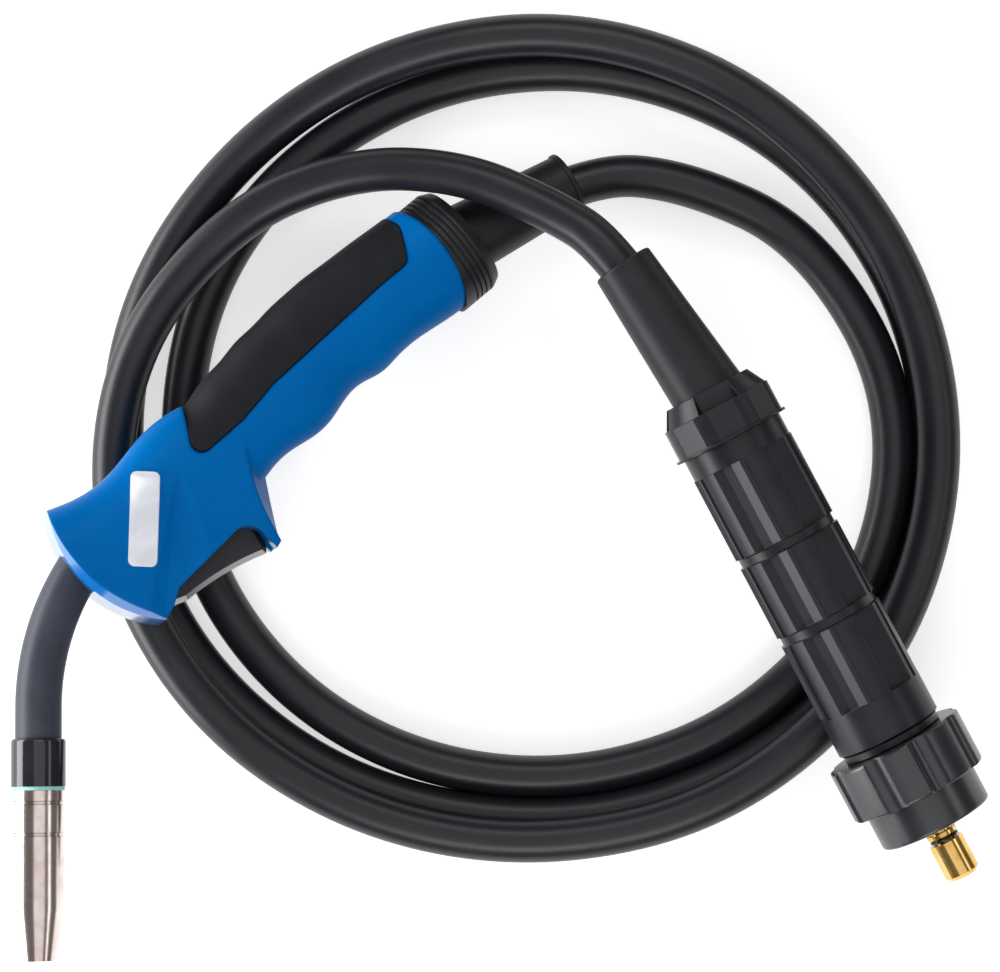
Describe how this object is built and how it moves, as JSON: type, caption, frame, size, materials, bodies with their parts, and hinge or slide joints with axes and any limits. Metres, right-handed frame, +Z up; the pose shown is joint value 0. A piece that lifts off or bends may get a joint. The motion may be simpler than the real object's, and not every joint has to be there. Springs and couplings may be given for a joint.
{
  "type": "welding torch",
  "caption": "Gas-shielded welding torch with a bent neck, trigger handle, coiled coaxial cable and a round central plug with a lobed nut.",
  "frame": {"origin": "on the floor, below the middle of the torch without its cable", "axes": "+Z up from the floor that the coil lies on; the nozzle points to -Y, the handle's rear to +X and +Y"},
  "size_m": [0.3194, 0.3149, 0.0766],
  "materials": {
    "shell": "semi-gloss",
    "soft": "matt",
    "black": "satin",
    "gloss_black": "glossy",
    "grey": "satin",
    "steel": "turned",
    "copper": "turned copper",
    "chrome": "bright",
    "brass": "turned",
    "seal": "plain",
    "ceramic": "plain",
    "cable": "satin"
  },
  "bodies": {
    "torch": {"handle_shell_upper": "shell", "handle_shell_lower": "shell", "grip_inlay_upper": "soft", "grip_inlay_lower": "soft", "handle_end_ring": "black", "handle_screw_rear": "steel", "handle_screw_middle": "steel", "handle_screw_front": "steel", "swivel_sleeve": "steel", "handle_boot": "black", "trigger_pin": "steel", "microswitch": "black", "inner_cable": "cable", "cable_nut": "brass", "neck_block": "brass", "neck_tube": "copper", "neck_insulation": "black", "neck_collar": "gloss_black", "seal_ring": "seal", "nozzle_seat": "brass", "tip_holder": "brass", "gas_diffuser": "ceramic", "contact_tip": "copper", "coaxial_cable": "cable", "plug_boot": "black", "crimp_sleeve": "copper", "rear_nut": "black", "housing_upper": "black", "housing_lower": "black", "brass_body": "brass", "insulating_disc": "black", "gas_plug": "brass", "o_ring": "soft"},
    "trigger": {"trigger": "grey"},
    "plunger": {"switch_plunger": "grey"},
    "nozzle": {"gas_nozzle": "chrome"},
    "nut": {"gun_nut": "black"},
    "pin_left": {"contact_pin_left": "brass"},
    "pin_right": {"contact_pin_right": "brass"}
  },
  "joints": [
    {"name": "trigger_pull", "type": "hinge", "parent": "torch", "child": "trigger", "pos_m": [-0.04372, -0.01176, 0.04932], "axis": [0.1865, 0.1012, 0.9772], "range_deg": [0, 6], "stiffness_Nm_per_rad": 0.4, "springref_deg": -4.58},
    {"name": "plunger_press", "type": "slide", "parent": "torch", "child": "plunger", "axis": [-0.6399, 0.7673, 0.0427], "range_m": [0, 0.0022]},
    {"name": "nozzle_pull", "type": "slide", "parent": "torch", "child": "nozzle", "axis": [0.0128, -0.9948, 0.1006], "range_m": [0, 0.02]},
    {"name": "nut_spin", "type": "hinge", "parent": "torch", "child": "nut", "pos_m": [0.1943, -0.06333, 0.0498], "axis": [0.469, -0.8832, 0], "continuous": true},
    {"name": "pin_left_press", "type": "slide", "parent": "torch", "child": "pin_left", "axis": [-0.469, 0.8832, 0], "range_m": [0, 0.0025], "stiffness_N_per_m": 800, "springref_m": -0.001},
    {"name": "pin_right_press", "type": "slide", "parent": "torch", "child": "pin_right", "axis": [-0.469, 0.8832, 0], "range_m": [0, 0.0025], "stiffness_N_per_m": 800, "springref_m": -0.001}
  ],
  "couplings": [
    {"joint": "plunger_press", "follows": "trigger_pull", "m_per_rad": 0.0205}
  ]
}
